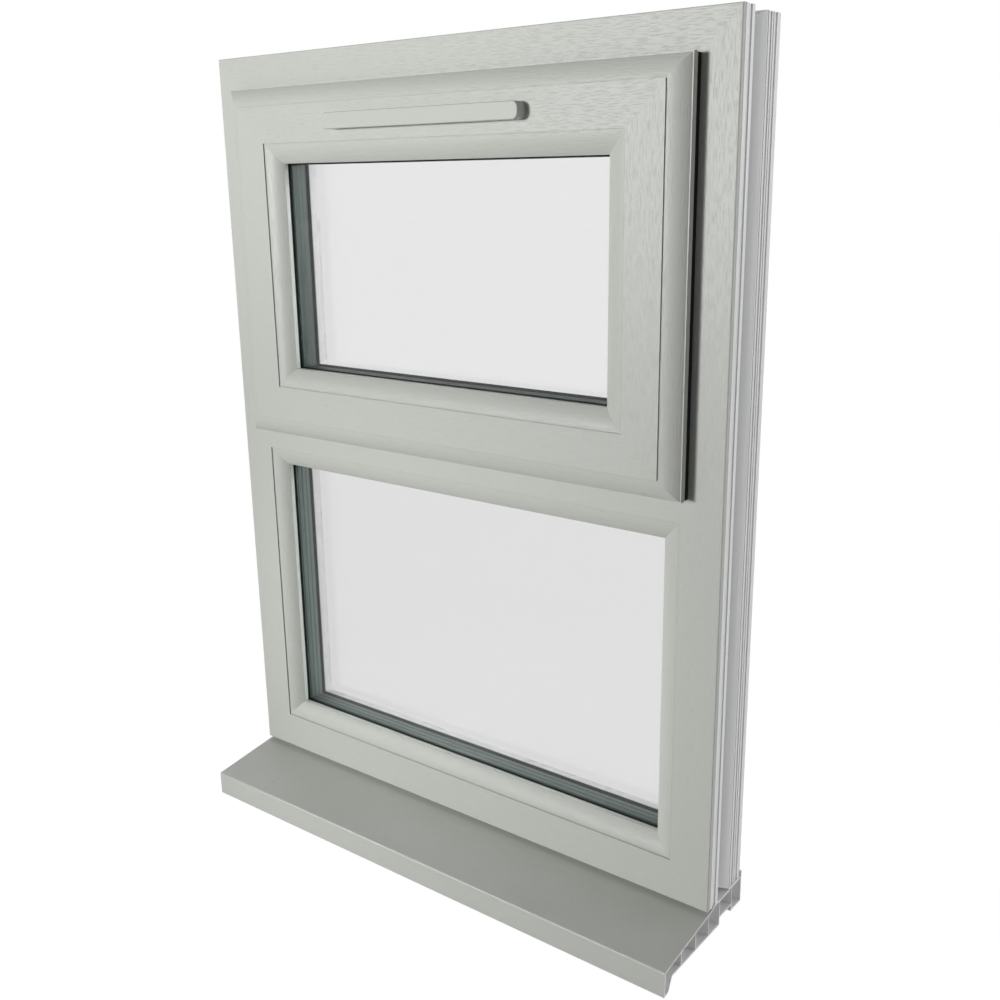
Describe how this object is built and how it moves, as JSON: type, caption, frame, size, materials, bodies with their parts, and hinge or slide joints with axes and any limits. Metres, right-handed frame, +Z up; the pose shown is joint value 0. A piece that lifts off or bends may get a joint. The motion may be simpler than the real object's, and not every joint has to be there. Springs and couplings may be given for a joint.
{
  "type": "top-hung window",
  "caption": "Top-hung casement window in its outer frame: opening sash above a transom, fixed light below, trickle vent and projecting cill.",
  "frame": {"origin": "on the cill's bedding face, mid-width, in the plane of the outer frame's weather face", "axes": "+X along the window, seen from outside to the right; +Y into the room; +Z up"},
  "size_m": [0.61, 0.1638, 0.8372],
  "materials": {
    "grey_foil": "agate grey woodgrain foil on white extrusion",
    "white_pvc": "smooth white extrusion",
    "black_rubber": "matt black seal",
    "clear_glass": "clear float glass",
    "spacer_grey": "grey spacer bar",
    "packer_plastic": "moulded packer",
    "white_plastic": "white moulding",
    "white_paint": "white powder coat",
    "nylon_black": "black nylon",
    "steel": "stainless steel"
  },
  "bodies": {
    "frame": {"cill": "grey_foil", "fixed_bead_bottom": "white_pvc", "fixed_bead_gasket": "black_rubber", "fixed_bead_left": "white_pvc", "fixed_bead_right": "white_pvc", "fixed_bead_top": "white_pvc", "fixed_edge_seal": "black_rubber", "fixed_glazing_gasket": "black_rubber", "fixed_glazing_packers": "packer_plastic", "fixed_inner_pane": "clear_glass", "fixed_outer_pane": "clear_glass", "fixed_spacer_bar": "spacer_grey", "frame_bottom_rail": "grey_foil", "frame_head": "grey_foil", "frame_jamb_left": "grey_foil", "frame_jamb_right": "grey_foil", "keep_screws": "steel", "lock_keeps": "steel", "stay_packer_left": "packer_plastic", "stay_packer_right": "packer_plastic", "stay_screws": "steel", "stay_track_left": "steel", "stay_track_right": "steel", "transom": "grey_foil"},
    "sash": {"handle_base": "white_paint", "handle_screws": "steel", "lock_gearbox": "steel", "sash_bead_bottom": "white_pvc", "sash_bead_gasket": "black_rubber", "sash_bead_left": "white_pvc", "sash_bead_right": "white_pvc", "sash_bead_top": "white_pvc", "sash_bottom_rail": "grey_foil", "sash_edge_seal": "black_rubber", "sash_glazing_gasket": "black_rubber", "sash_glazing_packers": "packer_plastic", "sash_inner_pane": "clear_glass", "sash_outer_pane": "clear_glass", "sash_spacer_bar": "spacer_grey", "sash_stile_left": "grey_foil", "sash_stile_right": "grey_foil", "sash_top_rail": "grey_foil", "sash_weather_gasket": "black_rubber", "stay_vent_bar_left": "steel", "stay_vent_bar_right": "steel", "vent_bar_screws": "steel", "vent_canopy": "grey_foil", "vent_grille": "white_plastic"},
    "short_arms": {"stay_short_arm_left": "steel", "stay_short_arm_right": "steel"},
    "long_arms": {"stay_long_arm_left": "steel", "stay_long_arm_right": "steel"},
    "sliders": {"stay_slider_left": "nylon_black", "stay_slider_right": "nylon_black"},
    "handle": {"handle_lever": "white_paint", "handle_spindle": "steel"},
    "lock_rod": {"lock_rod": "steel"},
    "button": {"lock_button": "white_plastic"},
    "shutter": {"vent_shutter": "white_plastic"}
  },
  "joints": [
    {"name": "stay_swing", "type": "hinge", "parent": "frame", "child": "short_arms", "pos_m": [0, 0.0305, 0.68219], "axis": [1, 0, 0], "range_deg": [0, 45]},
    {"name": "sash_pivot", "type": "hinge", "parent": "short_arms", "child": "sash", "pos_m": [0, 0.0305, 0.7422], "axis": [1, 0, 0], "range_deg": [-90, 0]},
    {"name": "long_arm_pivot", "type": "hinge", "parent": "sash", "child": "long_arms", "pos_m": [0, 0.0305, 0.6422], "axis": [1, 0, 0], "range_deg": [0, 90]},
    {"name": "slider_pivot", "type": "hinge", "parent": "long_arms", "child": "sliders", "pos_m": [0, 0.0305, 0.4822], "axis": [1, 0, 0], "range_deg": [-45, 0]},
    {"name": "handle_turn", "type": "hinge", "parent": "sash", "child": "handle", "pos_m": [0, 0.0466, 0.47349], "axis": [0, -1, 0], "range_deg": [0, 90]},
    {"name": "rod_slide", "type": "slide", "parent": "sash", "child": "lock_rod", "axis": [1, 0, 0], "range_m": [0, 0.02]},
    {"name": "button_press", "type": "slide", "parent": "handle", "child": "button", "axis": [0, -1, 0], "range_m": [0, 0.003], "stiffness_N_per_m": 400},
    {"name": "shutter_slide", "type": "slide", "parent": "sash", "child": "shutter", "axis": [1, 0, 0], "range_m": [0, 0.01]}
  ],
  "couplings": [
    {"joint": "sash_pivot", "follows": "stay_swing", "ratio": -2},
    {"joint": "long_arm_pivot", "follows": "stay_swing", "ratio": 2},
    {"joint": "slider_pivot", "follows": "stay_swing", "ratio": -1},
    {"joint": "rod_slide", "follows": "handle_turn", "m_per_rad": 0.012732}
  ]
}
